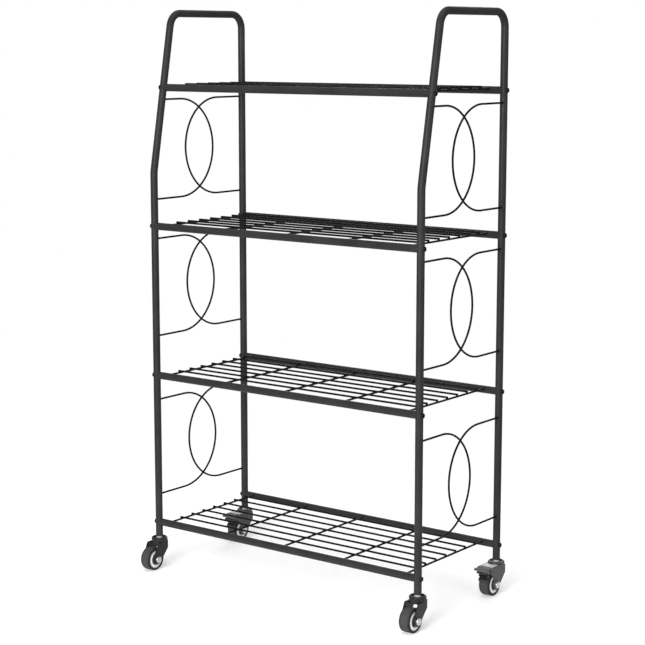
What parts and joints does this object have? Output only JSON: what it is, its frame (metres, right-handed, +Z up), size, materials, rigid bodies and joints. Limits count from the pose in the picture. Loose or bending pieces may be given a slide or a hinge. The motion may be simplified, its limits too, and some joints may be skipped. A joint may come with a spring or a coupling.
{
  "type": "rolling plant stand",
  "caption": "Tiered rolling plant stand: bent-tube side frames with interlocking wire loops carry open wire shelves, on swivel casters with rear foot brakes.",
  "frame": {"origin": "on the floor, midway between the swivel axes of the casters", "axes": "+X to the right along the shelves, +Y from the front to the back, +Z up"},
  "size_m": [0.6274, 0.3101, 1.0405],
  "materials": {
    "frame_tube": "satin black powder coat",
    "panel_wire": "satin black powder coat",
    "shelf_wire": "satin black powder coat",
    "black_bolt": "black oxide",
    "plain_steel": "plain",
    "zinc": "zinc plated",
    "fork": "dark grey coat",
    "rim": "moulded",
    "tyre": "matte",
    "bush": "moulded",
    "pedal": "dull grey",
    "shoe": "moulded"
  },
  "bodies": {
    "stand": {"left_side_frame": "frame_tube", "left_upper_wire_panel": "panel_wire", "left_middle_wire_panel": "panel_wire", "left_lower_wire_panel": "panel_wire", "right_side_frame": "frame_tube", "right_upper_wire_panel": "panel_wire", "right_middle_wire_panel": "panel_wire", "right_lower_wire_panel": "panel_wire", "top_front_rail": "frame_tube", "top_back_rail": "frame_tube", "top_cross_wires": "shelf_wire", "top_deck_wires": "shelf_wire", "upper_front_rail": "frame_tube", "upper_back_rail": "frame_tube", "upper_cross_wires": "shelf_wire", "upper_deck_wires": "shelf_wire", "lower_front_rail": "frame_tube", "lower_back_rail": "frame_tube", "lower_cross_wires": "shelf_wire", "lower_deck_wires": "shelf_wire", "bottom_front_rail": "frame_tube", "bottom_back_rail": "frame_tube", "bottom_cross_wires": "shelf_wire", "bottom_deck_wires": "shelf_wire", "shelf_bolts": "black_bolt", "rail_end_nuts": "plain_steel", "leg_inserts": "plain_steel", "caster_stems": "zinc"},
    "front_left_swivel": {"front_left_fork": "fork", "front_left_axle_bolt": "zinc", "front_left_axle_nut": "zinc"},
    "front_left_wheel": {"front_left_wheel_rim": "rim", "front_left_tyre": "tyre", "front_left_wheel_bush": "bush"},
    "front_right_swivel": {"front_right_fork": "fork", "front_right_axle_bolt": "zinc", "front_right_axle_nut": "zinc"},
    "front_right_wheel": {"front_right_wheel_rim": "rim", "front_right_tyre": "tyre", "front_right_wheel_bush": "bush"},
    "rear_left_swivel": {"rear_left_fork": "fork", "rear_left_axle_bolt": "zinc", "rear_left_axle_nut": "zinc", "rear_left_pedal_pin": "zinc"},
    "rear_left_wheel": {"rear_left_wheel_rim": "rim", "rear_left_tyre": "tyre", "rear_left_wheel_bush": "bush"},
    "rear_left_brake": {"rear_left_brake_pedal": "pedal", "rear_left_brake_shoe": "shoe"},
    "rear_right_swivel": {"rear_right_fork": "fork", "rear_right_axle_bolt": "zinc", "rear_right_axle_nut": "zinc", "rear_right_pedal_pin": "zinc"},
    "rear_right_wheel": {"rear_right_wheel_rim": "rim", "rear_right_tyre": "tyre", "rear_right_wheel_bush": "bush"},
    "rear_right_brake": {"rear_right_brake_pedal": "pedal", "rear_right_brake_shoe": "shoe"}
  },
  "joints": [
    {"name": "front_left_swivel_turn", "type": "hinge", "parent": "stand", "child": "front_left_swivel", "pos_m": [-0.29425, -0.12635, 0.0529], "axis": [0, 0, 1], "continuous": true},
    {"name": "front_left_wheel_spin", "type": "hinge", "parent": "front_left_swivel", "child": "front_left_wheel", "pos_m": [-0.29425, -0.14735, 0.0215], "axis": [1, 0, 0], "continuous": true},
    {"name": "front_right_swivel_turn", "type": "hinge", "parent": "stand", "child": "front_right_swivel", "pos_m": [0.29425, -0.12635, 0.0529], "axis": [0, 0, 1], "continuous": true},
    {"name": "front_right_wheel_spin", "type": "hinge", "parent": "front_right_swivel", "child": "front_right_wheel", "pos_m": [0.29425, -0.14735, 0.0215], "axis": [1, 0, 0], "continuous": true},
    {"name": "rear_left_swivel_turn", "type": "hinge", "parent": "stand", "child": "rear_left_swivel", "pos_m": [-0.29425, 0.12635, 0.0529], "axis": [0, 0, 1], "continuous": true},
    {"name": "rear_left_wheel_spin", "type": "hinge", "parent": "rear_left_swivel", "child": "rear_left_wheel", "pos_m": [-0.29425, 0.10535, 0.0215], "axis": [1, 0, 0], "continuous": true},
    {"name": "rear_left_brake_rock", "type": "hinge", "parent": "rear_left_swivel", "child": "rear_left_brake", "pos_m": [-0.29425, 0.08985, 0.0476], "axis": [1, 0, 0], "range_deg": [0, 8]},
    {"name": "rear_right_swivel_turn", "type": "hinge", "parent": "stand", "child": "rear_right_swivel", "pos_m": [0.29425, 0.12635, 0.0529], "axis": [0, 0, 1], "continuous": true},
    {"name": "rear_right_wheel_spin", "type": "hinge", "parent": "rear_right_swivel", "child": "rear_right_wheel", "pos_m": [0.29425, 0.10535, 0.0215], "axis": [1, 0, 0], "continuous": true},
    {"name": "rear_right_brake_rock", "type": "hinge", "parent": "rear_right_swivel", "child": "rear_right_brake", "pos_m": [0.29425, 0.08985, 0.0476], "axis": [1, 0, 0], "range_deg": [0, 8]}
  ]
}
